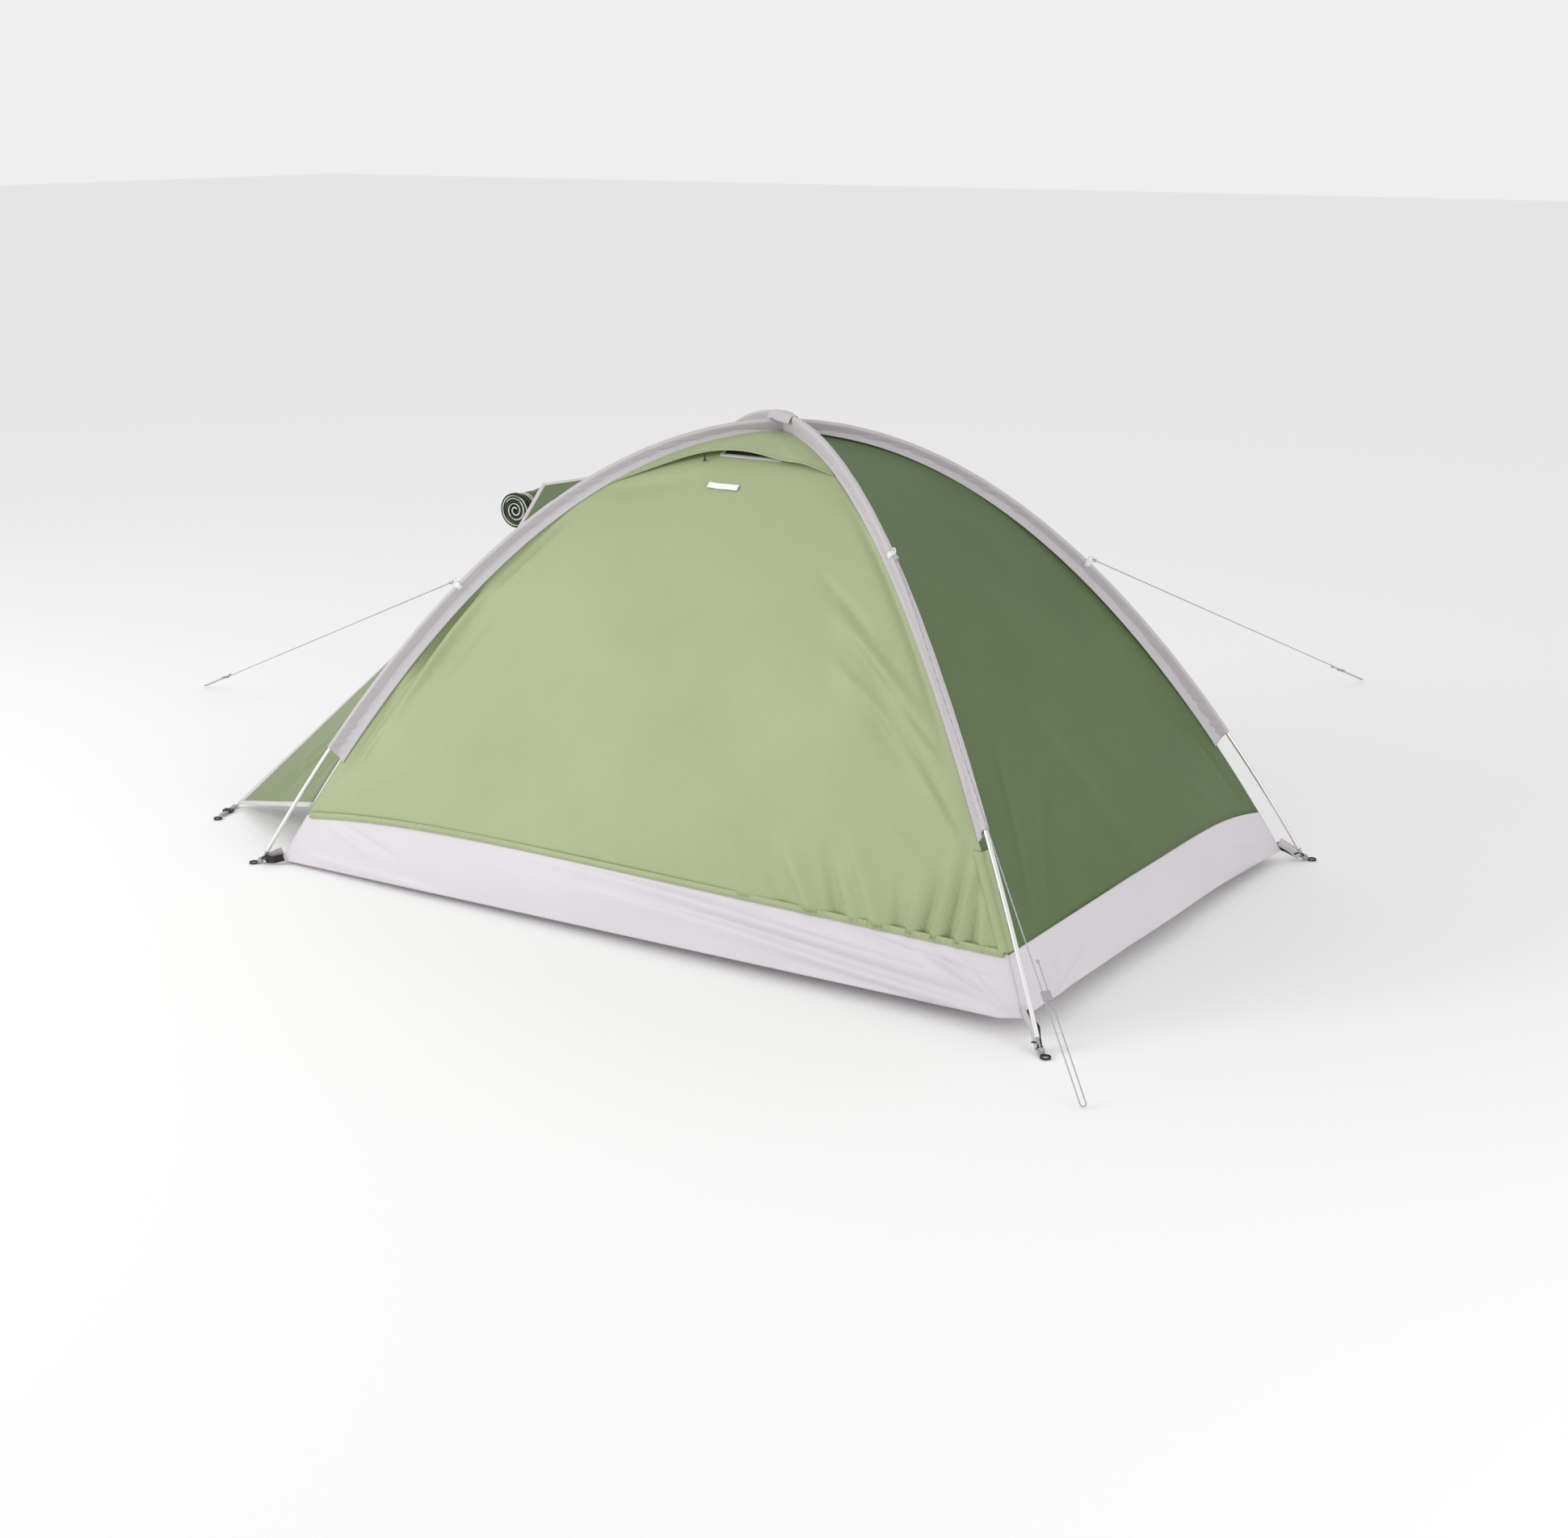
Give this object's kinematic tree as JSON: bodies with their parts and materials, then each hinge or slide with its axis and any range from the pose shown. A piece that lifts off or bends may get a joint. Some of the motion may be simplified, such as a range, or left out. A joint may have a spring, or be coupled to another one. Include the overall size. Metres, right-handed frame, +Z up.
{
  "type": "dome tent",
  "caption": "Low dome tent on crossing bent poles in cloth sleeves, with a pale tub floor, a propped roof vent, a porch with its door rolled up, and taut guy lines.",
  "frame": {"origin": "on the ground under the crossing of the poles, at the middle of the tent floor's underside", "axes": "+Z up, +X along the long side away from the porch, +Y from the front wall to the back wall"},
  "size_m": [3.6822, 3.3767, 1.0839],
  "materials": {
    "black_plastic": "moulded",
    "ferrule_metal": "plain drawn",
    "guy_cord": "braided",
    "label": "smooth",
    "mesh": "knitted mesh",
    "olive_cloth": "coated plain weave",
    "pale_plastic": "moulded",
    "pole_tube": "satin anodised",
    "ring_steel": "bent wire",
    "sage_cloth": "coated plain weave",
    "shock_cord": "braided elastic",
    "sleeve_cloth": "plain weave",
    "tip_metal": "turned",
    "tub_cloth": "coated plain weave",
    "webbing": "woven webbing",
    "zip_coil": "moulded",
    "zip_metal": "plated"
  },
  "bodies": {
    "tent": {"canopy_back": "sage_cloth", "canopy_front": "sage_cloth", "canopy_left": "olive_cloth", "canopy_right": "olive_cloth", "corner_rings": "ring_steel", "corner_straps": "webbing", "crown_cap": "sleeve_cloth", "guy_clips": "pale_plastic", "guy_line_left": "guy_cord", "guy_line_near": "guy_cord", "guy_line_right": "guy_cord", "inner_door_roll": "mesh", "label_patch": "label", "peg_loops": "black_plastic", "pole_a_section_1": "pole_tube", "pole_a_section_2": "pole_tube", "pole_a_section_3": "pole_tube", "pole_a_section_4": "pole_tube", "pole_a_section_5": "pole_tube", "pole_a_section_6": "pole_tube", "pole_a_section_7": "pole_tube", "pole_b_section_1": "pole_tube", "pole_b_section_2": "pole_tube", "pole_b_section_3": "pole_tube", "pole_b_section_4": "pole_tube", "pole_b_section_5": "pole_tube", "pole_b_section_6": "pole_tube", "pole_b_section_7": "pole_tube", "pole_ferrules": "ferrule_metal", "pole_tips": "tip_metal", "porch_brow": "olive_cloth", "porch_door_roll": "olive_cloth", "porch_roof": "olive_cloth", "porch_straps": "webbing", "porch_wing_back": "sage_cloth", "porch_wing_front": "sage_cloth", "porch_zips": "zip_coil", "roll_ties": "webbing", "shock_cords": "shock_cord", "sleeve_back_left": "sleeve_cloth", "sleeve_back_right": "sleeve_cloth", "sleeve_front_left": "sleeve_cloth", "sleeve_front_right": "sleeve_cloth", "tub_floor": "tub_cloth", "tub_wall_back": "tub_cloth", "tub_wall_front": "tub_cloth", "tub_wall_left": "tub_cloth", "tub_wall_right": "tub_cloth", "vent_hood": "sage_cloth", "vent_mesh": "mesh"},
    "tensioner_left": {"tensioner_left": "pale_plastic"},
    "tensioner_right": {"tensioner_right": "pale_plastic"},
    "tensioner_near": {"tensioner_near": "pale_plastic"},
    "zip_slider_front": {"zip_slider_front": "zip_metal"},
    "zip_slider_back": {"zip_slider_back": "zip_metal"},
    "zip_pull_front": {"zip_pull_front": "zip_metal"},
    "zip_pull_back": {"zip_pull_back": "zip_metal"},
    "vent_strut": {"vent_strut": "black_plastic"},
    "porch_buckle_front": {"porch_buckle_front": "black_plastic"},
    "porch_buckle_back": {"porch_buckle_back": "black_plastic"}
  },
  "joints": [
    {"name": "guy_tension_left", "type": "slide", "parent": "tent", "child": "tensioner_left", "axis": [-0.8537, 0.408, -0.3236], "range_m": [-0.12, 0.06]},
    {"name": "guy_tension_right", "type": "slide", "parent": "tent", "child": "tensioner_right", "axis": [-0.0145, 0.9435, -0.331], "range_m": [-0.12, 0.06]},
    {"name": "guy_tension_near", "type": "slide", "parent": "tent", "child": "tensioner_near", "axis": [0.5836, -0.4409, -0.6819], "range_m": [-0.12, 0.06]},
    {"name": "zip_run_front", "type": "slide", "parent": "tent", "child": "zip_slider_front", "axis": [-0.6356, -0.3657, -0.6799], "range_m": [0, 1]},
    {"name": "zip_pull_swing_front", "type": "hinge", "parent": "zip_slider_front", "child": "zip_pull_front", "pos_m": [-0.78687, -0.03144, 0.70962], "axis": [-0.5753, 0.8116, 0.1014], "range_deg": [0, 150]},
    {"name": "zip_run_back", "type": "slide", "parent": "tent", "child": "zip_slider_back", "axis": [-0.6356, 0.3657, -0.6799], "range_m": [0, 1]},
    {"name": "zip_pull_swing_back", "type": "hinge", "parent": "zip_slider_back", "child": "zip_pull_back", "pos_m": [-0.78687, 0.03144, 0.70962], "axis": [0.5753, 0.8116, -0.1014], "range_deg": [0, 150]},
    {"name": "vent_prop_fold", "type": "hinge", "parent": "tent", "child": "vent_strut", "pos_m": [-0.11, -0.159, 0.98226], "axis": [0, 1, 0], "range_deg": [0, 85]},
    {"name": "strap_slide_front", "type": "slide", "parent": "tent", "child": "porch_buckle_front", "axis": [0.3659, -0.9307, 0], "range_m": [-0.028, 0.035]},
    {"name": "strap_slide_back", "type": "slide", "parent": "tent", "child": "porch_buckle_back", "axis": [0.3659, 0.9307, 0], "range_m": [-0.028, 0.035]}
  ]
}
